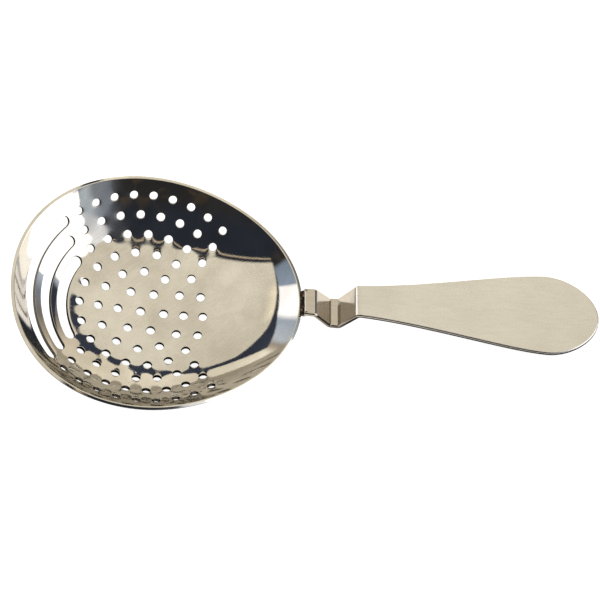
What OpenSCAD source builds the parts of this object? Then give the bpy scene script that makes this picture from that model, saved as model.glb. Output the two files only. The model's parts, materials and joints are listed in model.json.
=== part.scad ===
// Julep strainer: a perforated, egg-shaped sheet bowl with a bent flat handle welded to its rim.
// Millimetres, +Z up. It lies at rest on the plane Z = 0, on the bowl's belly and the handle's tip.
// +X runs from the bowl to the handle. The origin is the centre of the footprint, on that plane.
// The parts are drawn in the bowl's own frame, whose Z axis is the bowl's pressing direction and whose
// origin is the lowest point of the sheet's middle surface, and at_rest() then lays them down.

/* [Bowl] */
// Mean plan radius of the rim, at the middle of the sheet
bowl_radius = 37.15; // [36:0.05:41]
// Shift of the plan outline towards the handle
egg_shift = 1.9; // [0:0.05:3]
// Lengthening of the plan outline along the handle
egg_stretch = 2.35; // [0:0.05:3]
// Pointedness of the plan outline at the handle
egg_point = 1.0; // [0:0.05:1.2]
// Squareness of the plan outline
egg_square = 0.15; // [0:0.05:0.3]
// Bluntness of the outline's end at the handle
egg_snub = 0.15; // [0:0.05:0.3]
// Height of the rim above the bottom
bowl_depth = 13.4; // [11:0.1:16]
// Share of the depth that rises with the square of the radius; the rest rises with its fourth power
bowl_roundness = 0.56; // [0.5:0.01:1]
// Thickness of the bowl's sheet
wall = 1.0; // [0.8:0.05:1.2]
// How far the outer side of the sheet reaches past its inner side at the rim
rim_slant = 0.35; // [0:0.05:0.5]

/* [Holes] */
// Number of hole rings round the centre hole
rings = 6; // [4:1:6]
// Number of inner rings that run all the way round
full_rings = 3; // [2:1:3]
// Radius of the first ring
ring_first = 6.42; // [6:0.02:6.6]
// Step from the first ring to the second
ring_step = 5.56; // [5:0.02:5.6]
// How much each following step is shorter than the one before it
ring_shrink = 0.27; // [0.2:0.01:0.4]
// Turn of the hole pattern from the handle's line, in degrees
pattern_turn = -3.2; // [-5:0.1:5]
// Diameter of the centre hole
hole_d_centre = 2.55; // [2.2:0.05:3]
// Diameter of the holes in the outer ring, which the pressing has drawn narrower
hole_d_outer = 2.25; // [1.8:0.05:2.6]
// Width of the slots, along the sheet
slot_w = 3.2; // [2.6:0.05:3.8]

/* [Handle] */
// Thickness of the handle strip
strip_t = 1.5; // [1.2:0.05:2]
// Flat tab between the rim and the first bend
tab_length = 3.0; // [2.5:0.05:6]
// Height of the tab's middle above the rim's middle
tab_lift = 0.5; // [0:0.05:0.6]
// How far the strip dips below the tab
valley_drop = 5.6; // [4:0.05:6]
// Length of the valley's flat floor, between the middles of its bends
valley_floor = 2.7; // [2:0.05:5]
// Slope of the strip going down into the valley, in degrees
slope_down = 48; // [40:1:60]
// Slope of the strip coming up out of the valley, in degrees
slope_up = 65; // [40:1:68]
// Height of the grip above the tab
grip_rise = 2.9; // [0:0.1:5]
// Radius of the bends, at the middle of the strip
bend_radius = 1.1; // [1:0.05:1.6]
// Length of the flat grip, from the last bend to the tip
grip_length = 68.0; // [55:0.1:75]
// Width of the tab
tab_w = 8.0; // [7:0.1:9]
// Width of the grip at its start
grip_w = 9.5; // [8:0.1:10]
// Greatest width of the grip
paddle_w = 23.9; // [20:0.1:26]
// Distance from the grip's widest place to its tip
paddle_end = 14.8; // [12:0.1:18]

/* [Welds] */
// Gap that the welds bridge between the rim and the tab
weld_gap = 0.3; // [0.2:0.05:0.4]
// Radius of the thin bead on top of the joint
bead_top_r = 0.6; // [0.5:0.05:0.7]
// Radius of the thick bead under the joint
bead_under_r = 1.3; // [1.2:0.05:1.4]
// How far each bead stops short of the tab's two edges
bead_inset = 0.3; // [0.2:0.05:1]

/* [Hidden] */

steel = [0.78, 0.77, 0.74];
satin_steel = [0.75, 0.72, 0.66];
weld_grey = [0.32, 0.29, 0.26];

segments = 72;                 // facets round the bowl
bands = 14;                    // facets from the bowl's centre to its rim
arc_steps = 6;                 // steps in each bend of the strip
curve_steps = 14;              // steps in each curve of the grip's outline
round_fn = 48;
cut_depth = 6 * wall;          // length of the tools that cut the holes
cut_margin = 1;                // how much longer a tool is that trims another tool
flare_pull = 0.35;             // how far the grip's flare first follows the line of the neck
flare_lift = 1;                // how far it has left that line by then
belly_pull = 0.2;              // how early the flare reaches its full width
shoulder_pull = 0.45;          // how far the widest place is carried towards the tip
nose_pull = 0.56;              // how blunt the tip is
top_bead_lift = 0.1;           // height of the top bead's middle above the rim's middle
under_bead_drop = 0.2;         // depth of the under bead's middle below the tab
belly_samples = 40;            // places along the bowl's middle line that may touch the table
belly_reach = 2 / 3;           // how far out they go, as a share of the way to the rim
most_lean = 20;                // no rest pose leans further
lean_steps = 30;               // halvings in the search for it
inside = 1;                    // the side of the sheet that holds the ice
outside = -1;
front = 180;                   // direction of the slots in the hole pattern

// ---- bowl surface ----

// Plan radius of the rim in direction a, and how it changes with a, per radian
function plan_radius(a) =
    bowl_radius + egg_shift * cos(a) + egg_stretch * cos(2 * a) + egg_point * cos(3 * a)
    + egg_square * cos(4 * a) + egg_snub * cos(5 * a);
function plan_radius_change(a) =
    -egg_shift * sin(a) - 2 * egg_stretch * sin(2 * a) - 3 * egg_point * sin(3 * a)
    - 4 * egg_square * sin(4 * a) - 5 * egg_snub * sin(5 * a);

// Height at share p of the way out to the rim, as a share of the depth, and how it changes with p
function rise(p) = bowl_roundness * pow(p, 2) + (1 - bowl_roundness) * pow(p, 4);
function rise_change(p) = 2 * bowl_roundness * p + 4 * (1 - bowl_roundness) * pow(p, 3);

// Unit normal of the middle surface, pointing up into the bowl
function bowl_normal(p, a) =
    let (
        slope_out = bowl_depth * rise_change(p) / plan_radius(a),
        slope_round = -slope_out * plan_radius_change(a) / plan_radius(a),
        n = [
            -slope_out * cos(a) + slope_round * sin(a),
            -slope_out * sin(a) - slope_round * cos(a),
            1
        ]
    )
    n / norm(n);

function middle_point(p, a) =
    [p * plan_radius(a) * cos(a), p * plan_radius(a) * sin(a), bowl_depth * rise(p)];

function sheet_point(p, a, side) = middle_point(p, a) + side * wall / 2 * bowl_normal(p, a);

// Where one side of the sheet ends at the rim. The outer side ends rim_slant further along the sheet.
function rim_point(a, side) =
    let (slant = side == outside ? rim_slant * bowl_normal(1, a)[2] : 0)
    sheet_point(1 + slant / plan_radius(a), a, side);

// One side of the sheet as points: its centre, then ring after ring out to the rim
function sheet_points(side) = concat(
    [sheet_point(0, 0, side)],
    [
        for (i = [1 : bands - 1]) for (j = [0 : segments - 1])
            sheet_point(i / bands, j * 360 / segments, side)
    ],
    [for (j = [0 : segments - 1]) rim_point(j * 360 / segments, side)]
);

// Index of the point on ring i at segment j, for the side whose points start at first
function sheet_index(first, i, j) = first + 1 + (i - 1) * segments + j % segments;

// Triangles of one side, with their outer faces away from the sheet's middle
function sheet_faces(first, side) = [
    for (j = [0 : segments - 1])
        each facing([[first, sheet_index(first, 1, j), sheet_index(first, 1, j + 1)]], side),
    for (i = [1 : bands - 1]) for (j = [0 : segments - 1])
        let (
            a = sheet_index(first, i, j),
            b = sheet_index(first, i, j + 1),
            c = sheet_index(first, i + 1, j + 1),
            d = sheet_index(first, i + 1, j)
        )
        each facing([[a, d, c], [a, c, b]], side)
];

// Triangles that are listed anticlockwise from above, turned to face out of the given side
function facing(triangles, side) = [for (t = triangles) side == inside ? [t[2], t[1], t[0]] : t];

// Triangles of the rim's edge, between the two sides
function rim_faces(first_in, first_out) = [
    for (j = [0 : segments - 1])
        let (
            a = sheet_index(first_in, bands, j),
            b = sheet_index(first_in, bands, j + 1),
            c = sheet_index(first_out, bands, j + 1),
            d = sheet_index(first_out, bands, j)
        )
        each [[a, b, c], [a, c, d]]
];

// The pressed sheet before it is perforated
module bowl_blank() {
    side_points = 1 + bands * segments;
    polyhedron(
        points = concat(sheet_points(inside), sheet_points(outside)),
        faces = concat(
            sheet_faces(0, inside),
            sheet_faces(side_points, outside),
            rim_faces(0, side_points)
        )
    );
}

// ---- holes and slots ----

function ring_radius(k) = ring_first + (k - 1) * ring_step - ring_shrink * (k - 1) * (k - 2) / 2;
function hole_d(k) = hole_d_centre + (hole_d_outer - hole_d_centre) * k / rings;

// Ring k has 6 k places, evenly spaced. A full ring fills them all.
// A broken ring fills k + 3 places on each flank, and leaves the front and the handle side blank.
function pitch(k) = 60 / k;
function hole_angles(k) = k <= full_rings
    ? [for (i = [0 : 6 * k - 1]) i * pitch(k)]
    : [for (flank = [-1, 1]) for (i = [k - 1 : 2 * k + 1]) flank * i * pitch(k)];

// The sheet was punched flat and then pressed, so every hole runs square through the sheet
module hole(r, pattern_angle, d) {
    a = pattern_angle + pattern_turn;
    p = r / plan_radius(a);
    n = bowl_normal(p, a);
    translate(middle_point(p, a))
        rotate([0, acos(n[2]), atan2(n[1], n[0])])
            cylinder(h = cut_depth, d = d, center = true, $fn = round_fn);
}

// A cone round the bowl's axis that is square to the sheet at the front of ring k.
// It meets the sheet at the given distance outside the ring, measured along the sheet.
module square_cone(k, distance, height) {
    p = ring_radius(k) / plan_radius(front);
    lean = acos(bowl_normal(p, front)[2]);
    r = ring_radius(k) + distance / cos(lean);
    spread = height / 2 * tan(lean);
    translate([0, 0, bowl_depth * rise(p)])
        cylinder(h = height, r1 = r + spread, r2 = r - spread, center = true, $fn = 2 * round_fn);
}

// A slot along ring k at the front, ending on the places next to the first holes of each flank
module slot(k) {
    half_angle = (k - 2) * pitch(k);
    reach = 2 * ring_radius(k);
    for (end = [-1, 1]) hole(ring_radius(k), front + end * half_angle, slot_w);
    intersection() {
        difference() {
            square_cone(k, slot_w / 2, cut_depth);
            square_cone(k, -slot_w / 2, cut_depth + cut_margin);
        }
        rotate(front + pattern_turn)
            linear_extrude(height = 2 * bowl_depth)
                polygon([
                    [0, 0],
                    reach * [cos(half_angle), -sin(half_angle)],
                    reach * [cos(half_angle), sin(half_angle)]
                ]);
    }
}

module perforation() {
    hole(0, 0, hole_d_centre);
    for (k = [1 : rings]) for (a = hole_angles(k)) hole(ring_radius(k), a, hole_d(k));
    for (k = [full_rings + 1 : rings]) slot(k);
}

// ---- handle strip ----

rim_end = rim_point(0, outside)[0];
tab_start = rim_end + weld_gap;
tab_z = bowl_depth + tab_lift;
valley_z = tab_z - valley_drop;
grip_z = tab_z + grip_rise;
valley_start = tab_start + tab_length + valley_drop / tan(slope_down);
valley_end = valley_start + valley_floor;
grip_start = valley_end + (grip_z - valley_z) / tan(slope_up);
tip_x = grip_start + grip_length;
widest_x = tip_x - paddle_end;

// Corners of the strip's middle line, seen from the side
strip_corners = [
    [tab_start, tab_z],
    [tab_start + tab_length, tab_z],
    [valley_start, valley_z],
    [valley_end, valley_z],
    [grip_start, grip_z],
    [tip_x, grip_z]
];

function direction(from, to) = atan2(to[1] - from[1], to[0] - from[0]);
function upwards(a) = [-sin(a), cos(a)];

// Points along one side of the strip at the bend at corner b; side is 1 above and -1 below
function bend_points(a, b, c, side) =
    let (
        a_in = direction(a, b),
        a_out = direction(b, c),
        turn = sign(a_out - a_in),
        tangent = bend_radius * tan(abs(a_out - a_in) / 2),
        start = b - tangent * [cos(a_in), sin(a_in)],
        centre = start + turn * bend_radius * upwards(a_in)
    )
    [
        for (i = [0 : arc_steps])
            let (dir = a_in + (a_out - a_in) * i / arc_steps)
            centre + (side * strip_t / 2 - turn * bend_radius) * upwards(dir)
    ];

function strip_side(corners, side) =
    let (last = len(corners) - 1)
    concat(
        [corners[0] + side * strip_t / 2 * upwards(direction(corners[0], corners[1]))],
        [
            for (i = [1 : last - 1])
                each bend_points(corners[i - 1], corners[i], corners[i + 1], side)
        ],
        [corners[last] + side * strip_t / 2 * upwards(direction(corners[last - 1], corners[last]))]
    );

function reversed(list) = [for (i = [len(list) - 1 : -1 : 0]) list[i]];

// A cubic curve from a to d, drawn towards b and arriving from c
function curve(a, b, c, d) = [
    for (i = [0 : curve_steps])
        let (t = i / curve_steps, s = 1 - t)
        s * s * s * a + 3 * s * s * t * b + 3 * s * t * t * c + t * t * t * d
];

// Half of the grip's plan outline: a slow flare to the widest place, then a round end
grip_flare = curve(
    [grip_start, grip_w / 2],
    [grip_start + flare_pull * (widest_x - grip_start), grip_w / 2 + flare_lift],
    [widest_x - belly_pull * (widest_x - grip_start), paddle_w / 2],
    [widest_x, paddle_w / 2]
);
grip_nose = curve(
    [widest_x, paddle_w / 2],
    [widest_x + shoulder_pull * paddle_end, paddle_w / 2],
    [tip_x, nose_pull * paddle_w / 2],
    [tip_x, 0]
);
half_outline = concat([[tab_start, tab_w / 2]], grip_flare, [for (i = [1 : curve_steps]) grip_nose[i]]);
other_half = [for (i = [len(half_outline) - 2 : -1 : 0]) [half_outline[i][0], -half_outline[i][1]]];

module strip() {
    intersection() {
        rotate([90, 0, 0]) linear_extrude(height = 2 * paddle_w, center = true)
            polygon(concat(strip_side(strip_corners, 1), reversed(strip_side(strip_corners, -1))));
        linear_extrude(height = 2 * grip_z)
            polygon(concat(half_outline, other_half));
    }
}

// ---- rest pose ----

// Lowest point of the bowl's underside and of the handle's tip after leaning by angle a
belly_points = [for (i = [0 : belly_samples]) sheet_point(belly_reach * i / belly_samples, 0, outside)];
function leaned_z(point, a) = -point[0] * sin(a) + point[2] * cos(a);
function belly_z(a) = min([for (point = belly_points) leaned_z(point, a)]);
function tip_z(a) = leaned_z([tip_x, 0, grip_z - strip_t / 2], a);

// The lean at which both touch the table, found by halving the interval
function find_lean(low, high, steps) =
    let (mid = (low + high) / 2)
    steps == 0 ? mid
    : tip_z(mid) > belly_z(mid) ? find_lean(mid, high, steps - 1)
    : find_lean(low, mid, steps - 1);

rest_lean = find_lean(0, most_lean, lean_steps);
front_rim = rim_point(front, outside);
front_x = front_rim[0] * cos(rest_lean) + front_rim[2] * sin(rest_lean);
back_x = tip_x * cos(rest_lean) + (grip_z + strip_t / 2) * sin(rest_lean);

module at_rest() {
    translate([-(front_x + back_x) / 2, 0, -belly_z(rest_lean)])
        rotate([0, rest_lean, 0])
            children();
}

// ---- sub-parts ----

module bowl() {
    color(steel) at_rest() difference() {
        bowl_blank();
        perforation();
    }
}

module handle() {
    color(satin_steel) at_rest() strip();
}

// A weld bead lies along the joint and fills only the room that the rim and the tab leave
module bead(x, z, r) {
    color(weld_grey) at_rest() difference() {
        translate([x, 0, z]) rotate([90, 0, 0])
            cylinder(h = tab_w - 2 * bead_inset, r = r, center = true, $fn = round_fn);
        bowl_blank();
        strip();
    }
}

module weld_bead_top() {
    bead(tab_start - weld_gap / 2, bowl_depth + top_bead_lift, bead_top_r);
}

module weld_bead_under() {
    bead(tab_start, tab_z - strip_t / 2 - under_bead_drop, bead_under_r);
}

bowl();
handle();
weld_bead_top();
weld_bead_under();
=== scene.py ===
"""Looks for a julep strainer: a polished, perforated bowl with a satin handle on a pale studio floor.

The shape functions work in millimetres in the bowl's own frame, whose Z axis is the pressing direction
and whose origin is the lowest point of the sheet's middle surface. Each finished mesh is then laid down
in the rest pose and scaled to metres.
"""
import json
import math

import bmesh
import bpy
import numpy as np
from mathutils import Matrix, Vector
from mathutils.geometry import delaunay_2d_cdt


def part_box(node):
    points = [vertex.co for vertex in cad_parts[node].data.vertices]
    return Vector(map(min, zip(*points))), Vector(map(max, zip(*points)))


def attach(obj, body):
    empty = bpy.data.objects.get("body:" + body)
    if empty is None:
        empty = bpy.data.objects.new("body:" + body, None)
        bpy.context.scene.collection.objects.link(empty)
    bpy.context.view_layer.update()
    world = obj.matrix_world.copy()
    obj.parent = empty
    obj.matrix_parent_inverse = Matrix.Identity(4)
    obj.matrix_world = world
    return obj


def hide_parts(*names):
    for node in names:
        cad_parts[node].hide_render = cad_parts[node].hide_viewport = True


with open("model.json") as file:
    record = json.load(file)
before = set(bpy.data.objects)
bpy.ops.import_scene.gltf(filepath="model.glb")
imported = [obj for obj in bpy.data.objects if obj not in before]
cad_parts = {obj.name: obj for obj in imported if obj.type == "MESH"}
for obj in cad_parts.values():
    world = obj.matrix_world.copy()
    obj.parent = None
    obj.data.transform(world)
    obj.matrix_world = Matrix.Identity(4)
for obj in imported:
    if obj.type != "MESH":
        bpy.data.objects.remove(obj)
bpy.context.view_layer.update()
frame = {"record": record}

MM = 0.001

# ---- the bowl's surface ----

OUTLINE_TERMS = (37.15, 1.9, 2.35, 1.0, 0.15, 0.15)   # plan outline: cosine terms of the rim's radius
BOWL_DEPTH = 13.4
ROUNDNESS = 0.56                # share of the depth that rises with the square of the radius
WALL = 1.0
RIM_SLANT = 0.35                # how far the sheet's outer side reaches past its inner side at the rim
RIM_POINTS = 360

RINGS = 6
FULL_RINGS = 3
RING_FIRST = 6.42
RING_STEP = 5.56
RING_SHRINK = 0.27
PATTERN_TURN = -3.2
HOLE_D_CENTRE = 2.55
HOLE_D_OUTER = 2.25
SLOT_W = 3.2
FRONT = 180.0                   # direction of the slots in the hole pattern

RIM_ROUND = 0.28                # radius of the rim's two corners
HOLE_ROUND = 0.14               # radius of the corners at the holes and slots
ROLL_DEPTH = 0.055              # how far the punch has drawn the sheet down at the edge of a hole
ROLL_REACH = 0.62               # distance over which that fades

# ---- the handle ----

STRIP_T = 1.5
STRIP_ROUND = 0.60              # radius of the strip's cut edges
WELD_GAP = 0.3
TAB_LENGTH = 3.0
TAB_Z = BOWL_DEPTH + 0.5        # height of the tab's middle, a little above the rim's
VALLEY_DROP = 5.6
VALLEY_FLOOR = 2.7
SLOPE_DOWN = math.radians(48)
SLOPE_UP = math.radians(65)
GRIP_RISE = 2.9
GRIP_LENGTH = 68.0
BEND_RADIUS = 1.1
TAB_W = 8.0
GRIP_W = 9.5
PADDLE_W = 23.9
PADDLE_END = 14.8
FLARE_PULL = 0.35               # how far the grip's flare first follows the line of the neck
FLARE_LIFT = 1.0                # how far it has left that line by then
BELLY_PULL = 0.2                # how early the flare reaches its full width
SHOULDER_PULL = 0.45            # how far the widest place is carried towards the tip
NOSE_PULL = 0.56                # how blunt the tip is
BEAD_INSET = 0.3                # how far each weld bead stops short of the tab's two edges
TOP_BEAD_R = 0.6
TOP_BEAD_LIFT = 0.1             # height of the top bead's middle above the rim's middle
UNDER_BEAD_R = 1.3
UNDER_BEAD_DROP = 0.2           # depth of the under bead's middle below the tab

# ---- mesh fineness ----

EDGE_STEPS = 4                  # steps in a rounded cut edge
HOLE_POINTS = 36
SLOT_STEP = 0.45                # spacing of points along a slot
SLOT_CAP_POINTS = 16
CELL = 0.75                     # spacing of the points that fill the bowl
GRIP_CELL = 1.1                 # the same for the grip
NECK_STEP = 0.16                # spacing of rows along the neck, where the strip bends
NECK_CELL = 0.675               # spacing of points across the neck
OUTLINE_STEP = 0.6              # spacing of points along the grip's outline
CURVE_POINTS = 200
PATH_POINTS = 12000
TAB_END_POINTS = 12
BOWL_FIELD = ((-44, -40), (46, 40))   # a rectangle that holds the bowl's plan outline
NECK_FIELD = ((1.2, -2.7), (0.5, 2.71))   # x is measured from the strip's start and past its last bend
OPENING_GAP = 0.45 * CELL       # least distance from an opening's last row to the filling points
GRIP_GAP = 0.3                  # between the neck's points and the grip's
ROW_GAP = 0.4                   # least distance from an edge's last row to the grip's filling points
BOWL_FLAT_ROWS = (0.32, 0.45, 0.62)   # distances of the rows that follow a rounded edge
STRIP_FLAT_ROWS = (0.62, 0.95)
BEAD_STATIONS = 84
BEAD_SIDES = 24
BEAD_MEAN = 0.93                # mean radius of a bead, as a share of its full radius
BEAD_BLUNT = 0.35               # lower values make blunter ends
BEAD_END = 0.02                 # radius at the very ends, as a share
PROBE = 0.004                   # step that measures a slope
TINY = 1e-9


def plan_radius(a):
    return sum(term * np.cos(i * a) for i, term in enumerate(OUTLINE_TERMS))


def plan_radius_change(a):
    return -sum(i * term * np.sin(i * a) for i, term in enumerate(OUTLINE_TERMS))


def unit(v):
    return v / np.linalg.norm(v, axis=-1, keepdims=True)


def bowl_middle(points):
    """Points of the sheet's middle surface above plan points."""
    x, y = points[:, 0], points[:, 1]
    share = np.hypot(x, y) / plan_radius(np.arctan2(y, x))
    z = BOWL_DEPTH * (ROUNDNESS * share**2 + (1 - ROUNDNESS) * share**4)
    return np.stack([x, y, z], axis=1)


def bowl_normal(points):
    """Unit normals of the middle surface, pointing up into the bowl."""
    x, y = points[:, 0], points[:, 1]
    a = np.arctan2(y, x)
    radius = plan_radius(a)
    share = np.hypot(x, y) / radius
    slope_out = BOWL_DEPTH * (2 * ROUNDNESS * share + 4 * (1 - ROUNDNESS) * share**3) / radius
    slope_round = -slope_out * plan_radius_change(a) / radius
    return unit(np.stack([
        -slope_out * np.cos(a) + slope_round * np.sin(a),
        -slope_out * np.sin(a) - slope_round * np.cos(a),
        np.ones_like(a),
    ], axis=1))


def ring_radius(k):
    return RING_FIRST + (k - 1) * RING_STEP - RING_SHRINK * (k - 1) * (k - 2) / 2


def pitch(k):
    return 60 / k


def hole_angles(k):
    """A full ring has 6 k holes. A broken ring leaves the front and the handle side blank."""
    if k <= FULL_RINGS:
        return [i * pitch(k) for i in range(6 * k)]
    return [flank * i * pitch(k) for flank in (-1, 1) for i in range(k - 1, 2 * k + 2)]


def plan_point(radius, pattern_angle):
    a = math.radians(pattern_angle + PATTERN_TURN)
    return np.array([[radius * math.cos(a), radius * math.sin(a)]])


class Hole:
    """A round hole punched square through the sheet."""

    def __init__(self, k, angle):
        plan = plan_point(ring_radius(k) if k else 0.0, angle)
        self.radius = (HOLE_D_CENTRE + (HOLE_D_OUTER - HOLE_D_CENTRE) * k / RINGS) / 2
        self.centre = bowl_middle(plan)[0]
        self.axis = bowl_normal(plan)[0]
        self.across = unit(np.cross([0.0, 1.0, 0.0], self.axis))
        self.along = np.cross(self.axis, self.across)

    def loop(self, distance):
        turns = np.linspace(0, 2 * math.pi, HOLE_POINTS, endpoint=False)[:, None]
        reach = self.radius + distance
        ring = self.centre + reach * (np.cos(turns) * self.across + np.sin(turns) * self.along)
        return ring[:, :2]

    def clearance(self, middles):
        """Distance along the sheet from the hole's edge."""
        away = middles - self.centre
        away = away - np.outer(away @ self.axis, self.axis)
        return np.linalg.norm(away, axis=1) - self.radius


class Slot:
    """A slot along ring k at the front, with round ends."""

    def __init__(self, k):
        self.k = k
        self.ring = ring_radius(k)
        self.half_angle = math.radians((k - 2) * pitch(k))
        self.turn = math.radians(FRONT + PATTERN_TURN)
        lean = bowl_normal(plan_point(self.ring, FRONT))[0][2]
        self.squeeze = float(lean)          # plan distance per distance along the sheet

    def loop(self, distance):
        half = SLOT_W / 2 + distance
        run = int(2 * self.half_angle * self.ring / SLOT_STEP)
        sweep = np.linspace(-self.half_angle, self.half_angle, run)
        far = [(self.ring + half * self.squeeze, a, 0.0) for a in sweep]
        near = [(self.ring - half * self.squeeze, a, 0.0) for a in sweep[::-1]]
        bend = np.linspace(0, math.pi, SLOT_CAP_POINTS + 2)[1:-1]
        end = [
            (self.ring + half * self.squeeze * math.cos(t), self.half_angle, half * math.sin(t))
            for t in bend
        ]
        start = [
            (self.ring - half * self.squeeze * math.cos(t), -self.half_angle, -half * math.sin(t))
            for t in bend
        ]
        points = []
        for radius, angle, side in far + end + near + start:
            a = angle + self.turn
            points.append([
                radius * math.cos(a) - side * math.sin(a),
                radius * math.sin(a) + side * math.cos(a),
            ])
        return np.array(points)

    def clearance(self, middles):
        x, y = middles[:, 0], middles[:, 1]
        radius = np.hypot(x, y)
        angle = np.arctan2(y, x) - self.turn
        angle = np.arctan2(np.sin(angle), np.cos(angle))
        beyond = np.maximum(np.abs(angle) - self.half_angle, 0) * self.ring
        return np.hypot((radius - self.ring) / self.squeeze, beyond) - SLOT_W / 2


def rim_loop(distance):
    """The rim, or a line inside it at a distance measured along the sheet."""
    a = np.linspace(0, 2 * math.pi, RIM_POINTS, endpoint=False)
    radius = plan_radius(a)
    rim = np.stack([radius * np.cos(a), radius * np.sin(a)], axis=1)
    steep = bowl_normal(rim)[:, 2]
    return rim * (1 - distance * steep / radius)[:, None]


def roll_down(openings, middles):
    """How far the punch has drawn the sheet down near the openings."""
    total = np.zeros(len(middles))
    for opening in openings:
        clearance = opening.clearance(middles)
        near = clearance < 6 * ROLL_REACH
        total[near] += ROLL_DEPTH * np.exp(-np.maximum(clearance[near], -0.1) / ROLL_REACH)
    return total


# ---- the handle's surface ----

RIM_AT_HANDLE = rim_loop(-RIM_SLANT)[:1]
RIM_END = float(bowl_middle(RIM_AT_HANDLE)[0][0] - bowl_normal(RIM_AT_HANDLE)[0][0] * WALL / 2)
TAB_START = RIM_END + WELD_GAP
VALLEY_START = TAB_START + TAB_LENGTH + VALLEY_DROP / math.tan(SLOPE_DOWN)
VALLEY_END = VALLEY_START + VALLEY_FLOOR
VALLEY_Z = TAB_Z - VALLEY_DROP
GRIP_Z = TAB_Z + GRIP_RISE
GRIP_START = VALLEY_END + (GRIP_Z - VALLEY_Z) / math.tan(SLOPE_UP)
TIP_X = GRIP_START + GRIP_LENGTH
WIDEST_X = TIP_X - PADDLE_END


def strip_path():
    """Middle line of the strip seen from the side, finely stepped: distance along it, x, z, slope angle.

    The last value lists the distances at which the bends start and end.
    """
    corners = np.array([
        [TAB_START, TAB_Z],
        [TAB_START + TAB_LENGTH, TAB_Z],
        [VALLEY_START, VALLEY_Z],
        [VALLEY_END, VALLEY_Z],
        [GRIP_START, GRIP_Z],
        [TIP_X, GRIP_Z],
    ])
    runs = np.diff(corners, axis=0)
    slopes = np.arctan2(runs[:, 1], runs[:, 0])
    lengths = np.linalg.norm(runs, axis=1)
    turns = np.diff(slopes)
    tangents = BEND_RADIUS * np.tan(np.abs(turns) / 2)
    along, angles = [0.0], [slopes[0]]
    for i, length in enumerate(lengths):
        before = tangents[i - 1] if i > 0 else 0.0
        after = tangents[i] if i < len(tangents) else 0.0
        along.append(along[-1] + length - before - after)
        angles.append(slopes[i])
        if i < len(turns):
            along.append(along[-1] + BEND_RADIUS * abs(turns[i]))
            angles.append(slopes[i + 1])
    s = np.linspace(0, along[-1], PATH_POINTS)
    angle = np.interp(s, along, angles)
    middle = (angle[1:] + angle[:-1]) / 2
    step = s[1] - s[0]
    x = TAB_START + np.concatenate([[0], np.cumsum(np.cos(middle) * step)])
    z = TAB_Z + np.concatenate([[0], np.cumsum(np.sin(middle) * step)])
    return s, x, z, angle, np.array(along)


PATH_S, PATH_X, PATH_Z, PATH_ANGLE, PATH_KNOTS = strip_path()


def strip_middle(points):
    x = np.interp(points[:, 0], PATH_S, PATH_X)
    z = np.interp(points[:, 0], PATH_S, PATH_Z)
    return np.stack([x, points[:, 1], z], axis=1)


def strip_normal(points):
    angle = np.interp(points[:, 0], PATH_S, PATH_ANGLE)
    return np.stack([-np.sin(angle), np.zeros_like(angle), np.cos(angle)], axis=1)


def cubic(a, b, c, d, count):
    t = np.linspace(0, 1, count)[:, None]
    s = 1 - t
    return s**3 * np.array(a) + 3 * s**2 * t * np.array(b) + 3 * s * t**2 * np.array(c) + t**3 * np.array(d)


def half_outline():
    """Half of the handle's plan outline, from the tab to the tip."""
    flare = WIDEST_X - GRIP_START
    neck = np.array([[TAB_START, TAB_W / 2], [GRIP_START, GRIP_W / 2]])
    side = cubic(
        [GRIP_START, GRIP_W / 2],
        [GRIP_START + FLARE_PULL * flare, GRIP_W / 2 + FLARE_LIFT],
        [WIDEST_X - BELLY_PULL * flare, PADDLE_W / 2],
        [WIDEST_X, PADDLE_W / 2],
        CURVE_POINTS,
    )
    nose = cubic(
        [WIDEST_X, PADDLE_W / 2],
        [WIDEST_X + SHOULDER_PULL * PADDLE_END, PADDLE_W / 2],
        [TIP_X, NOSE_PULL * PADDLE_W / 2],
        [TIP_X, 0],
        CURVE_POINTS,
    )
    return np.concatenate([neck, side[1:], nose[1:]])


def resampled(line, spacing):
    """A line of points again, evenly spaced."""
    steps = np.linalg.norm(np.diff(line, axis=0), axis=1)
    reach = np.concatenate([[0], np.cumsum(steps)])
    at = np.linspace(0, reach[-1], max(2, int(reach[-1] / spacing)) + 1)
    return np.stack([np.interp(at, reach, line[:, 0]), np.interp(at, reach, line[:, 1])], axis=1)


def unrolled_edge():
    """The handle's whole outline on the unrolled strip, as a closed loop of (distance along, y)."""
    half = half_outline()
    edge = np.stack([np.interp(half[:, 0], PATH_X, PATH_S), half[:, 1]], axis=1)
    bends_end = PATH_KNOTS[-2]
    neck_s = np.arange(0, bends_end, NECK_STEP)
    neck = np.stack([neck_s, np.interp(neck_s, edge[:, 0], edge[:, 1])], axis=1)
    grip = edge[edge[:, 0] > bends_end]
    start = np.array([[bends_end, np.interp(bends_end, edge[:, 0], edge[:, 1])]])
    grip = resampled(np.concatenate([start, grip]), OUTLINE_STEP)
    upper = np.concatenate([neck, grip])
    lower = upper[:-1][::-1] * [1, -1]
    end_y = np.linspace(-TAB_W / 2, TAB_W / 2, TAB_END_POINTS + 2)[1:-1]
    end = np.stack([np.zeros(TAB_END_POINTS), end_y], axis=1)
    return np.concatenate([upper, lower, end])


def inset(loop, distance):
    """A closed loop moved inwards. The loop runs clockwise."""
    before = unit(loop - np.roll(loop, 1, axis=0))
    after = unit(np.roll(loop, -1, axis=0) - loop)
    inward_before = np.stack([before[:, 1], -before[:, 0]], axis=1)
    inward_after = np.stack([after[:, 1], -after[:, 0]], axis=1)
    mitre = inward_before + inward_after
    return loop + distance * mitre / (1 + np.sum(inward_before * inward_after, axis=1, keepdims=True))


# ---- building sheets ----

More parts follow.
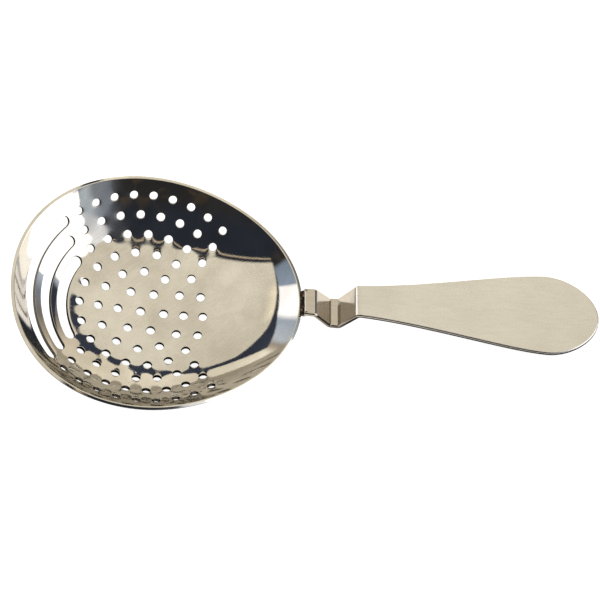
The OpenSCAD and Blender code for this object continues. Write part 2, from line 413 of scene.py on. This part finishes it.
def inside(points, loop):
    """Which points lie inside a closed loop."""
    x, y = points[:, 0:1], points[:, 1:2]
    ax, ay = loop[:, 0], loop[:, 1]
    bx, by = np.roll(ax, -1), np.roll(ay, -1)
    crosses = (ay > y) != (by > y)
    with np.errstate(divide="ignore", invalid="ignore"):
        at = ax + (y - ay) * (bx - ax) / (by - ay)
    return np.sum(crosses & (x < at), axis=1) % 2 == 1


def edge_rows(thickness, radius, flat_rows):
    """Rows inwards from a cut edge: distance from the edge, half thickness, tilt of the normal."""
    rows = []
    for i in range(EDGE_STEPS + 1):
        tilt = math.pi / 2 * i / EDGE_STEPS
        rows.append((radius * (1 - math.cos(tilt)), thickness / 2 - radius * (1 - math.sin(tilt)), tilt))
    rows.extend((distance, thickness / 2, math.pi / 2) for distance in flat_rows)
    return rows


def fill(loops, filling):
    """Triangles between the first loop and the others, over all the loops' points and then the filling."""
    points = np.concatenate(loops + [filling])
    starts = np.cumsum([0] + [len(loop) for loop in loops])
    owner = np.full(len(points), -1)
    rails = []
    for i, loop in enumerate(loops):
        first, count = starts[i], len(loop)
        owner[first:first + count] = i
        rails.extend((first + j, first + (j + 1) % count) for j in range(count))
    found = delaunay_2d_cdt([Vector(p) for p in points], rails, [], 0, 1e-7, True)
    source = [ids[0] for ids in found[3]]
    triangles = np.array([[source[v] for v in face] for face in found[2]])
    owners = owner[triangles]
    keep = np.ones(len(triangles), bool)
    for i, loop in enumerate(loops):
        own = np.where((owners == i).all(axis=1))[0]
        if len(own):
            within = inside(points[triangles[own]].mean(axis=1), loop)
            keep[own[within == (i > 0)]] = False
    return triangles[keep]


def sheet_piece(name, edges, filling, middle, normal, lower, thickness, radii, flat_rows, slant=0.0):
    """A closed sheet with rounded edges round its outline, edges[0], and its openings.

    Each edge is a function from a distance inwards to a loop of points in the flat domain.
    lower gives how far the surface sinks at each point of the middle surface.
    radii are the edge radius of the outline and that of the openings.
    slant is how far the lower side's outline reaches past the upper side's.
    The mesh's attribute "cut" is 1 on the walls of the openings and 0 on the sheet's two sides.
    """
    counts = [len(edge(0.0)) for edge in edges]
    row_count = EDGE_STEPS + 1 + len(flat_rows)
    flat, half, tilt, inward, pulled, cut = [], [], [], [], [], []
    first, bands = 0, []
    for edge, count in zip(edges, counts):
        is_outline = edge is edges[0]
        rows = edge_rows(thickness, radii[0] if is_outline else radii[1], flat_rows)
        for i, (distance, height, angle) in enumerate(rows):
            flat.append(edge(distance))
            inward.append((edge(distance + PROBE) - edge(distance)) / PROBE)
            half.append(np.full(count, height))
            tilt.append(np.full(count, angle))
            pulled.append(np.full(count, is_outline) * (1 - distance / (2 * flat_rows[-1])))
            cut.append(np.full(count, not is_outline) * math.cos(angle))
            if i > 0:
                bands.append((first - count, first, count))
            first += count
    last_rows = [edge(flat_rows[-1]) for edge in edges]
    row_starts = np.cumsum([0] + [count * row_count for count in counts])
    blank = np.zeros(len(filling))
    flat = np.concatenate(flat + [filling])
    half = np.concatenate(half + [blank + thickness / 2])
    tilt = np.concatenate(tilt + [blank + math.pi / 2])
    inward = np.concatenate(inward + [np.zeros_like(filling)])
    pulled = np.concatenate(pulled + [blank])
    cut = np.concatenate(cut + [blank])
    edge_lean = math.atan2(slant, thickness) * (pulled > 0)

    def lifted(points, side):
        centre = middle(points)
        height = side * half - lower(centre)
        return centre + height[:, None] * normal(points)

    index = []
    for i, count in enumerate(counts):
        index.extend(range(row_starts[i] + count * (row_count - 1), row_starts[i + 1]))
    index.extend(range(row_starts[-1], row_starts[-1] + len(filling)))
    triangles = np.array(index)[fill(last_rows, filling)]

    one_side = []
    for a, b, count in bands:
        for j in range(count):
            k = (j + 1) % count
            one_side.append((a + j, a + k, b + k, b + j))
    one_side.extend(tuple(t) for t in triangles)
    total = len(flat)
    faces = one_side + [tuple(v + total for v in face) for face in one_side]
    for start, count in zip(row_starts, counts):
        for j in range(count):
            a, b = start + j, start + (j + 1) % count
            faces.append((a, b, b + total, a + total))

    points, normals = [], []
    for side in (1, -1):
        reach = slant * pulled * (side < 0)
        plan = flat - inward * reach[:, None]
        lean = tilt + side * edge_lean * (1 - tilt / (math.pi / 2))
        place = lifted(plan, side)
        dx = lifted(plan + [PROBE, 0], side) - lifted(plan - [PROBE, 0], side)
        dy = lifted(plan + [0, PROBE], side) - lifted(plan - [0, PROBE], side)
        face_up = unit(np.cross(dx, dy)) * side
        out = place - lifted(plan + PROBE * inward, side)
        out = out - np.sum(out * face_up, axis=1, keepdims=True) * face_up
        size = np.linalg.norm(out, axis=1, keepdims=True)
        out = np.where(size > TINY, out / np.maximum(size, TINY), 0.0)
        points.append(place)
        normals.append(unit(face_up * np.sin(lean)[:, None] + out * np.cos(lean)[:, None]))
    piece = make_piece(name, np.concatenate(points), faces, np.concatenate(normals))
    piece.data.attributes.new("cut", "FLOAT", "POINT").data.foreach_set("value", np.tile(cut, 2))
    return piece


def rest_pose():
    """The matrix from the bowl's own frame in millimetres to the shared frame in metres."""
    grip_top = next(m for m in frame["record"]["mounts"] if m["name"] == "grip_top")
    axis = Vector(grip_top["axis"])
    lean = Matrix.Rotation(math.atan2(axis.x, axis.z), 4, "Y")
    high = lean @ Vector((TIP_X, 0, GRIP_Z + STRIP_T / 2)) * MM
    low = lean @ Vector((TIP_X, 0, GRIP_Z - STRIP_T / 2)) * MM
    handle_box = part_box("handle")
    shift = Vector((handle_box[1][0] - high.x, 0, -low.z))
    return Matrix.Translation(shift) @ lean @ Matrix.Scale(MM, 4)


def make_piece(name, points, faces, normals=None):
    mesh = bpy.data.meshes.new(name)
    mesh.from_pydata([tuple(p) for p in points], [], [tuple(int(v) for v in f) for f in faces])
    mesh.validate()
    turn_outwards(mesh)
    mesh.shade_smooth()
    mesh.transform(REST)
    if normals is not None:
        turned = unit(normals @ np.array(REST.to_3x3()).T)
        mesh.normals_split_custom_set_from_vertices([tuple(n) for n in turned])
    piece = bpy.data.objects.new(name, mesh)
    bpy.context.scene.collection.objects.link(piece)
    return piece


def turn_outwards(mesh):
    work = bmesh.new()
    work.from_mesh(mesh)
    bmesh.ops.recalc_face_normals(work, faces=work.faces)
    work.to_mesh(mesh)
    work.free()


def lattice(low, high, cell):
    """Points in staggered rows over a rectangle."""
    rows = []
    step_y = cell * math.sqrt(3) / 2
    for i, y in enumerate(np.arange(low[1], high[1], step_y)):
        x = np.arange(low[0] + (i % 2) * cell / 2, high[0], cell)
        rows.append(np.stack([x, np.full_like(x, y)], axis=1))
    return np.concatenate(rows)


REST = rest_pose()


def make_bowl():
    openings = [Hole(0, 0.0)]
    openings += [Hole(k, a) for k in range(1, RINGS + 1) for a in hole_angles(k)]
    openings += [Slot(k) for k in range(FULL_RINGS + 1, RINGS + 1)]
    points = lattice(*BOWL_FIELD, CELL)
    points = points[inside(points, rim_loop(BOWL_FLAT_ROWS[-1] + CELL / 2))]
    middles = bowl_middle(points)
    clear = np.min([opening.clearance(middles) for opening in openings], axis=0)
    points = points[clear > BOWL_FLAT_ROWS[-1] + OPENING_GAP]
    return sheet_piece(
        "perforated_bowl", [rim_loop] + [opening.loop for opening in openings], points,
        bowl_middle, bowl_normal, lambda middles: roll_down(openings, middles),
        WALL, (RIM_ROUND, HOLE_ROUND), BOWL_FLAT_ROWS, RIM_SLANT,
    )


def make_handle():
    outline = unrolled_edge()
    (neck_start, neck_low), (neck_past, neck_high) = NECK_FIELD
    neck_end = PATH_KNOTS[-2] + neck_past
    neck = np.array([
        (s, y)
        for s in np.arange(neck_start, neck_end, NECK_STEP)
        for y in np.arange(neck_low, neck_high, NECK_CELL)
    ])
    grip = lattice((neck_end + GRIP_GAP, -PADDLE_W / 2), (PATH_S[-1], PADDLE_W / 2), GRIP_CELL)
    limit = inset(outline, STRIP_FLAT_ROWS[-1] + ROW_GAP)
    points = np.concatenate([neck, grip[inside(grip, limit)]])
    return sheet_piece(
        "satin_handle", [lambda distance: inset(outline, distance)], points,
        strip_middle, strip_normal, lambda middles: np.zeros(len(middles)),
        STRIP_T, (STRIP_ROUND, STRIP_ROUND), STRIP_FLAT_ROWS,
    )


def make_bead(name, x, z, radius, phase):
    """A weld bead along Y: a rod with rounded ends whose ripples and width wander."""
    length = TAB_W - 2 * BEAD_INSET
    points = []
    for i in range(BEAD_STATIONS):
        share = i / (BEAD_STATIONS - 1)
        y = (share - 0.5) * length
        end = math.sqrt(max(1 - (2 * share - 1) ** 2, 0.0)) ** BEAD_BLUNT
        ripple = 0.07 * abs(math.sin(4.25 * y + phase)) + 0.05 * math.sin(2.1 * y + 2 * phase)
        wander = 0.06 * math.sin(1.3 * y + phase) + 0.04 * math.sin(4.7 * y + 3 * phase)
        for j in range(BEAD_SIDES):
            turn = 2 * math.pi * j / BEAD_SIDES
            lump = 0.04 * math.sin(3 * turn + 5 * y + phase)
            r = radius * max(end, BEAD_END) * (BEAD_MEAN + ripple + lump)
            points.append((x + wander + r * math.cos(turn), y, z + r * math.sin(turn)))
    faces = []
    for i in range(BEAD_STATIONS - 1):
        this_ring, next_ring = i * BEAD_SIDES, (i + 1) * BEAD_SIDES
        for j in range(BEAD_SIDES):
            k = (j + 1) % BEAD_SIDES
            faces.append((this_ring + j, this_ring + k, next_ring + k, next_ring + j))
    last_ring = (BEAD_STATIONS - 1) * BEAD_SIDES
    faces.append(tuple(range(BEAD_SIDES)))
    faces.append(tuple(last_ring + j for j in range(BEAD_SIDES)))
    return make_piece(name, np.array(points), faces)


bowl = make_bowl()
handle = make_handle()
bead_on_top = make_bead(
    "weld_bead_on_top", TAB_START - WELD_GAP / 2, BOWL_DEPTH + TOP_BEAD_LIFT, TOP_BEAD_R, phase=0.7,
)
bead_below = make_bead(
    "weld_bead_below", TAB_START, TAB_Z - STRIP_T / 2 - UNDER_BEAD_DROP, UNDER_BEAD_R, phase=2.2,
)
for piece, node, slot in (
    (bowl, "bowl", "polished_steel"),
    (handle, "handle", "satin_steel"),
    (bead_on_top, "weld_bead_top", "weld"),
    (bead_below, "weld_bead_under", "weld"),
):
    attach(piece, "root")
    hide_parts(node)

# ---- materials ----


class Graph:
    """A short way to write node trees."""

    def __init__(self, tree):
        self.tree = tree
        tree.nodes.clear()

    def node(self, kind, inputs=None, **settings):
        made = self.tree.nodes.new(kind)
        for key, value in settings.items():
            setattr(made, key, value)
        for key, value in (inputs or {}).items():
            if isinstance(value, bpy.types.NodeSocket):
                self.tree.links.new(value, made.inputs[key])
            else:
                made.inputs[key].default_value = value
        return made

    def maths(self, operation, *values):
        return self.node("ShaderNodeMath", dict(enumerate(values)), operation=operation).outputs[0]

    def dot(self, a, b):
        made = self.node("ShaderNodeVectorMath", {0: a, 1: b}, operation="DOT_PRODUCT")
        return made.outputs["Value"]

    def mix(self, factor, a, b):
        made = self.node("ShaderNodeMix", {"Factor": factor}, data_type="RGBA")
        for key, value in ((6, a), (7, b)):
            if isinstance(value, bpy.types.NodeSocket):
                self.tree.links.new(value, made.inputs[key])
            else:
                made.inputs[key].default_value = (*value, 1)
        return made.outputs[2]

    def smooth(self, value, low, high):
        """0 at low and 1 at high, with a soft passage between them."""
        made = self.node("ShaderNodeMapRange", {
            "Value": value, "From Min": low, "From Max": high,
        }, interpolation_type="SMOOTHSTEP")
        return made.outputs["Result"]

    def noise(self, where, scale, detail):
        made = self.node("ShaderNodeTexNoise", {"Vector": where, "Scale": scale, "Detail": detail})
        return made.outputs["Fac"]


def new_material(name):
    material = bpy.data.materials.new(name)
    material.use_nodes = True
    return material, Graph(material.node_tree)


def stretched(g, where, length, width, turn=0.0):
    """Noise drawn out along one direction, with grains of the given length and width in metres."""
    grain = g.node("ShaderNodeMapping", {
        "Vector": where, "Rotation": (0, 0, turn), "Scale": (length, width, width),
    }, vector_type="TEXTURE").outputs[0]
    return g.noise(grain, 1.0, 2.0)


def finish_metal(g, colour, rough, height, depth, **constants):
    """A metal shader. depth is the height of the relief in metres."""
    relief = g.node("ShaderNodeBump", {"Height": height, "Distance": depth, "Strength": 1.0}).outputs[0]
    shader = g.node("ShaderNodeBsdfPrincipled", {
        "Base Color": colour, "Roughness": rough, "Normal": relief, "Metallic": 1.0,
    })
    for socket, value in constants.items():
        shader.inputs[socket].default_value = value
    g.node("ShaderNodeOutputMaterial", {"Surface": shader.outputs[0]})


POLISHED_TONES = ((0.440, 0.414, 0.372), (0.650, 0.626, 0.585))
PUNCHED_WALL_SHADE = (0.070, 0.064, 0.056)   # painted shade on the raw walls of the holes and slots, much darker than the steel itself
POLISHED_RELIEF = 0.0008 * MM


def polished_steel():
    """Mirror-polished sheet with buffing scratches, a faint grain, smudges, and punched hole walls that are
    rougher and darkened with painted shade.
    """
    material, g = new_material("polished_steel")
    where = g.node("ShaderNodeTexCoord").outputs["Object"]
    buffing = stretched(g, where, 7 * MM, 0.22 * MM, math.radians(38))
    cross = stretched(g, where, 5 * MM, 0.16 * MM, math.radians(-24))
    grain = g.noise(where, 2600.0, 2.0)
    smudge = g.noise(where, 130.0, 4.0)
    cloud = g.noise(where, 48.0, 3.0)
    lines = g.maths("MULTIPLY_ADD", g.smooth(cross, 0.5, 0.8), 0.6, g.smooth(buffing, 0.35, 0.75))
    tone = g.maths("ADD", g.maths("MULTIPLY", lines, 0.16), g.maths("MULTIPLY", smudge, 0.7))
    tone = g.maths("ADD", tone, g.maths("MULTIPLY", grain, 0.35))
    tone = g.maths("MULTIPLY_ADD", g.smooth(cloud, 0.35, 0.70), 0.30, tone)
    colour = g.mix(g.smooth(tone, 0.30, 1.15), *POLISHED_TONES)
    cut = g.node("ShaderNodeAttribute", attribute_name="cut").outputs["Fac"]
    # painted shade: the walls of the holes and slots are coloured near-black for the shade inside them;
    # their higher roughness is the raw cut
    colour = g.mix(g.smooth(cut, 0.3, 0.8), colour, PUNCHED_WALL_SHADE)
    rough = g.maths("MULTIPLY_ADD", g.smooth(smudge, 0.45, 0.8), 0.035, 0.022)
    rough = g.maths("MULTIPLY_ADD", cut, 0.25, rough)
    rough = g.maths("MULTIPLY_ADD", lines, 0.015, rough)
    height = g.maths("MULTIPLY_ADD", grain, 0.25, lines)
    finish_metal(g, colour, rough, height, POLISHED_RELIEF)
    return material


GRIP_TONES = ((0.535, 0.513, 0.478), (0.645, 0.622, 0.588))
NECK_SHADE_TONES = ((0.400, 0.368, 0.325), (0.520, 0.480, 0.430))
GRIP_FINISH = (0.0125, 0.0150)  # between these places along X the polished neck, darkened with painted shade, becomes the satin grip
SATIN_RELIEF = 0.003 * MM


def satin_steel():
    """Brushed strip with a lengthwise grain and small handling scratches, polished at the neck and darkened
    there with painted shade.
    """
    material, g = new_material("satin_steel")
    where = g.node("ShaderNodeTexCoord").outputs["Object"]
    brushed = stretched(g, where, 14 * MM, 0.14 * MM)
    streaks = stretched(g, where, 30 * MM, 0.8 * MM)
    marks = stretched(g, where, 3 * MM, 0.12 * MM, math.radians(-52))
    clouds = g.noise(where, 60.0, 3.0)
    scratches = g.smooth(marks, 0.70, 0.78)
    tone = g.maths("MULTIPLY_ADD", brushed, 0.45, g.maths("MULTIPLY", streaks, 0.3))
    tone = g.maths("MULTIPLY_ADD", clouds, 0.5, tone)
    tone = g.maths("MULTIPLY_ADD", scratches, 0.35, tone)
    colour = g.mix(g.smooth(tone, 0.35, 0.9), *GRIP_TONES)
    along = g.node("ShaderNodeSeparateXYZ", {0: where}).outputs[0]
    ground = g.smooth(along, *GRIP_FINISH)
    # painted shade: the neck, which dips into the valley, gets darker, browner tones than the grip
    colour = g.mix(ground, g.mix(streaks, *NECK_SHADE_TONES), colour)
    rough = g.maths("MULTIPLY_ADD", brushed, 0.12, g.maths("MULTIPLY_ADD", ground, 0.16, 0.06))
    height = g.maths("MULTIPLY_ADD", scratches, -0.8, brushed)
    height = g.maths("MULTIPLY", height, g.maths("MULTIPLY_ADD", ground, 0.8, 0.2))
    finish_metal(g, colour, rough, height, SATIN_RELIEF, Anisotropic=0.4)
    return material


SCORCHED = (0.020, 0.016, 0.014)
TINTED_BROWN = (0.180, 0.135, 0.095)
TINTED_BLUE = (0.300, 0.310, 0.340)
WELD_RELIEF = 0.05 * MM


def weld_steel():
    """Bare weld metal, scorched, and tinted brown and blue by the heat."""
    material, g = new_material("weld_steel")
    where = g.node("ShaderNodeTexCoord").outputs["Object"]
    heat = g.noise(where, 900.0, 4.0)
    pits = g.noise(where, 4200.0, 3.0)
    warm = g.mix(g.smooth(heat, 0.48, 0.66), SCORCHED, TINTED_BROWN)
    colour = g.mix(g.smooth(heat, 0.66, 0.78), warm, TINTED_BLUE)
    rough = g.maths("MULTIPLY_ADD", pits, 0.4, 0.25)
    finish_metal(g, colour, rough, pits, WELD_RELIEF)
    return material


bowl.data.materials.append(polished_steel())
handle.data.materials.append(satin_steel())
weld = weld_steel()
for bead in (bead_on_top, bead_below):
    bead.data.materials.append(weld)


# ---- the studio ----

# Light that comes from each compass direction near the horizon: share of a turn, colour.
# The turn starts behind the camera and runs from left to right; the handle points to 0.75.
SURROUND = (
    (0.000, (0.035, 0.034, 0.036)),
    (0.190, (0.040, 0.041, 0.045)),
    (0.215, (0.090, 0.110, 0.150)),
    (0.235, (0.330, 0.420, 0.560)),
    (0.286, (0.520, 0.640, 0.850)),
    (0.290, (2.200, 2.200, 2.250)),
    (0.352, (2.200, 2.200, 2.250)),
    (0.364, (0.650, 0.770, 0.950)),
    (0.398, (0.800, 0.880, 0.980)),
    (0.408, (0.450, 0.370, 0.280)),
    (0.420, (1.350, 1.260, 1.050)),
    (0.560, (1.300, 1.200, 0.980)),
    (0.610, (1.000, 0.880, 0.700)),
    (0.650, (0.300, 0.270, 0.240)),
    (0.680, (0.330, 0.380, 0.480)),
    (0.705, (0.800, 0.920, 1.100)),
    (0.725, (2.200, 2.200, 2.250)),
    (0.845, (2.200, 2.200, 2.250)),
    (0.860, (0.600, 0.700, 0.850)),
    (0.900, (0.220, 0.270, 0.350)),
    (0.935, (0.045, 0.045, 0.050)),
)

# Panels overhead, on a plane one unit above the strainer: colour, softness, corners anticlockwise.
WHITE = (2.4, 2.4, 2.45)
BEIGE = (1.13, 1.060, 0.89)
GLOW = (1.75, 1.60, 1.25)
TAN = (0.85, 0.70, 0.50)
BLUE_GREY = (0.66, 0.75, 0.82)
DIM_BLUE = (0.32, 0.345, 0.40)
SLATE = (0.058, 0.070, 0.105)
NIGHT = (0.034, 0.041, 0.058)
DARK = (0.040, 0.040, 0.042)
BROWN = (0.085, 0.066, 0.048)   # warm shapes in the dark part of the room
DARK_CORNERS = ((-1.14, -0.10), (-8.0, -2.4), (-8.0, -12.0), (5.2, -12.0), (0.50, -0.20))
BEIGE_CORNERS = ((-1.13, -0.20), (0.80, -0.22), (1.06, 0.50), (1.06, 1.25), (-0.45, 2.45), (-0.85, 2.35),
                 (-1.14, 1.25))
GLOW_CORNERS = ((-1.40, 0.25), (-0.98, 0.25), (-0.98, 0.95), (-1.40, 0.95))
PANELS = (
    (NIGHT, 0.25, ((-1.14, -0.10), (-1.90, -1.10), (0.90, -1.10), (0.50, -0.10))),
    (DIM_BLUE, 0.45, ((0.60, -0.20), (5.2, -12.0), (12.3, -12.0), (0.75, -0.22))),
    (BLUE_GREY, 0.20, ((0.72, -0.20), (9.0, -12.0), (12.3, -12.0), (0.75, -0.22))),
    (WHITE, 0.02, ((0.75, -0.20), (12.0, -11.5), (12.0, 3.4), (1.25, 0.45), (0.85, 0.20))),
    (SLATE, 0.02, ((-1.14, -0.12), (1.02, 0.35), (1.28, 0.70), (1.40, 1.55), (-0.40, 2.95), (-1.15, 3.05),
                   (-1.36, 1.60))),
    (SLATE, 0.06, ((1.00, 0.40), (2.55, 1.05), (2.00, 1.85), (1.20, 1.45))),
    (SLATE, 0.02, ((-1.20, 0.75), (-0.90, 2.40), (-0.90, 2.95), (-2.15, 3.55))),
    (TAN, 0.006, ((-1.12, -0.285), (0.45, -0.285), (0.45, -0.262), (-1.12, -0.262))),
)
GLOW_SOFT = 0.16
BEIGE_SOFT = 0.02
DARK_SOFT = 0.05
SKIRT_WAY = (-0.35, -0.94, 0)   # the low dark side of the room, behind the camera
SKIRT_SIDES = (0.20, 0.34)      # how far round from that way it fades
SKIRT_TOP = (0.26, 0.18)        # the heights between which it fades
LOWEST = 0.02                   # directions below this height are mapped as if they were at it


def polygon(g, plane, corners, soft):
    """1 inside a convex polygon on the overhead plane, fading to 0 across its sides."""
    mask = None
    for (ax, ay), (bx, by) in zip(corners, corners[1:] + corners[:1]):
        length = math.hypot(bx - ax, by - ay)
        inward = ((ay - by) / length, (bx - ax) / length, 0)
        at = inward[0] * ax + inward[1] * ay
        side = g.smooth(g.dot(plane, inward), at - soft, at + soft)
        mask = side if mask is None else g.maths("MULTIPLY", mask, side)
    return mask


def studio_world():
    """The room that the steel mirrors: a ramp round the horizon, then panels, then a low dark skirt."""
    world = bpy.data.worlds.new("studio")
    world.use_nodes = True
    bpy.context.scene.world = world
    g = Graph(world.node_tree)
    way = g.node("ShaderNodeTexCoord").outputs["Generated"]
    parts = g.node("ShaderNodeSeparateXYZ", {0: way}).outputs
    angle = g.maths("ARCTAN2", parts[0], parts[1])
    turn = g.maths("MULTIPLY_ADD", angle, 1 / (2 * math.pi), 0.5)
    ramp = g.node("ShaderNodeValToRGB", {0: turn})
    stops = ramp.color_ramp.elements
    while len(stops) < len(SURROUND):
        stops.new(1.0)
    for stop, (position, light) in zip(stops, SURROUND):
        stop.position = position
        stop.color = (*light, 1)
    colour = ramp.outputs[0]
    height = g.maths("MAXIMUM", parts[2], LOWEST)
    up = g.node("ShaderNodeCombineXYZ", {0: height, 1: height, 2: height}).outputs[0]
    plane = g.node("ShaderNodeVectorMath", {0: way, 1: up}, operation="DIVIDE").outputs[0]
    shapes = g.noise(way, 6.0, 3.0)
    room = g.mix(g.smooth(shapes, 0.53, 0.66), DARK, BROWN)
    colour = g.mix(polygon(g, plane, DARK_CORNERS, DARK_SOFT), colour, room)
    for light, soft, corners in PANELS:
        colour = g.mix(polygon(g, plane, corners, soft), colour, light)
    softbox = g.mix(polygon(g, plane, GLOW_CORNERS, GLOW_SOFT), BEIGE, GLOW)
    colour = g.mix(polygon(g, plane, BEIGE_CORNERS, BEIGE_SOFT), colour, softbox)
    low = g.smooth(parts[2], *SKIRT_TOP)
    behind = g.smooth(g.dot(way, SKIRT_WAY), *SKIRT_SIDES)
    colour = g.mix(g.maths("MULTIPLY", low, behind), colour, DARK)
    background = g.node("ShaderNodeBackground", {"Color": colour, "Strength": 1.0})
    g.node("ShaderNodeOutputWorld", {"Surface": background.outputs[0]})


studio_world()

FLOOR_SIZE = 6.0
FLOOR_GLOW = 0.93               # keeps the floor white to the camera
FLOOR_WHITE = (0.5, 0.5, 0.5)
MIRRORED_SHADOW = (0.045, 0.043, 0.040)
MIRRORED_PALE = (1.60, 1.52, 1.38)
# In the reflections the floor has a painted shadow, a dark oval round each piece: its shift from the piece
# and its reach past it, along x and y. The light comes from the far side, so the ovals lie towards the
# camera.
SHADES = {
    "bowl": ((-0.014, -0.012), (0.004, 0.012)),
    "handle": ((0.008, -0.012), (-0.004, 0.002)),
}
SHADE_FADE = 0.008


def paper_floor():
    """The floor, white to the camera. The reflections see a painted shadow near the strainer and pale floor
    beyond.
    """
    mesh = bpy.data.meshes.new("floor")
    half = FLOOR_SIZE / 2
    corners = [(-half, -half, 0), (half, -half, 0), (half, half, 0), (-half, half, 0)]
    mesh.from_pydata(corners, [], [(0, 1, 2, 3)])
    floor = bpy.data.objects.new("floor", mesh)
    bpy.context.scene.collection.objects.link(floor)
    material, g = new_material("paper")
    where = g.node("ShaderNodeTexCoord").outputs["Object"]
    pale = None
    for node, (shift, past) in SHADES.items():
        low, high = (Vector(corner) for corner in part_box(node))
        middle, half_size = (low + high) / 2, (high - low) / 2
        reach = half_size + Vector((*past, 0))
        share = g.node("ShaderNodeMapping", {
            "Vector": where, "Location": (middle.x + shift[0], middle.y + shift[1], 0),
            "Scale": (reach.x, reach.y, 1),
        }, vector_type="TEXTURE").outputs[0]
        away = g.node("ShaderNodeVectorMath", {0: share}, operation="LENGTH").outputs["Value"]
        beyond = g.smooth(away, 1.0, 1.0 + SHADE_FADE / reach.y)
        pale = beyond if pale is None else g.maths("MULTIPLY", pale, beyond)
    # painted shadow: the floor's glow for reflections is dark near each piece and pale beyond
    tone = g.mix(pale, MIRRORED_SHADOW, MIRRORED_PALE)
    mirrored = g.node("ShaderNodeEmission", {"Color": tone, "Strength": 1.0})
    glow = g.node("ShaderNodeEmission", {"Color": (1, 1, 1, 1), "Strength": FLOOR_GLOW})
    white = g.node("ShaderNodeBsdfDiffuse", {"Color": (*FLOOR_WHITE, 1)})
    lit = g.node("ShaderNodeAddShader", {0: glow.outputs[0], 1: white.outputs[0]})
    seen = g.node("ShaderNodeLightPath").outputs["Is Camera Ray"]
    both = g.node("ShaderNodeMixShader", {0: seen, 1: mirrored.outputs[0], 2: lit.outputs[0]})
    g.node("ShaderNodeOutputMaterial", {"Surface": both.outputs[0]})
    mesh.materials.append(material)


paper_floor()


CAMERA_AZIMUTH = math.radians(-3.68)
CAMERA_ELEVATION = math.radians(64.02)
CAMERA_ROLL = math.radians(4.09)
CAMERA_DISTANCE = 0.860
CAMERA_AIM = (-2.05, 4.12, 2.10)   # millimetres
CAMERA_LENS = 185.76
SENSOR_WIDTH = 36.0


def make_camera():
    azimuth, elevation, roll = CAMERA_AZIMUTH, CAMERA_ELEVATION, CAMERA_ROLL
    aim = Vector(CAMERA_AIM) * MM
    back = Vector((
        math.sin(azimuth) * math.cos(elevation),
        -math.cos(azimuth) * math.cos(elevation),
        math.sin(elevation),
    ))
    level = Vector((math.cos(azimuth), math.sin(azimuth), 0))
    upright = back.cross(level)
    right = level * math.cos(roll) + upright * math.sin(roll)
    up = upright * math.cos(roll) - level * math.sin(roll)
    data = bpy.data.cameras.new("camera")
    data.lens = CAMERA_LENS
    data.sensor_width = SENSOR_WIDTH
    camera = bpy.data.objects.new("camera", data)
    turn = Matrix((right, up, back)).transposed().to_4x4()
    camera.matrix_world = Matrix.Translation(aim + back * CAMERA_DISTANCE) @ turn
    bpy.context.scene.collection.objects.link(camera)
    bpy.context.scene.camera = camera


make_camera()
bpy.context.scene.view_settings.view_transform = "Standard"
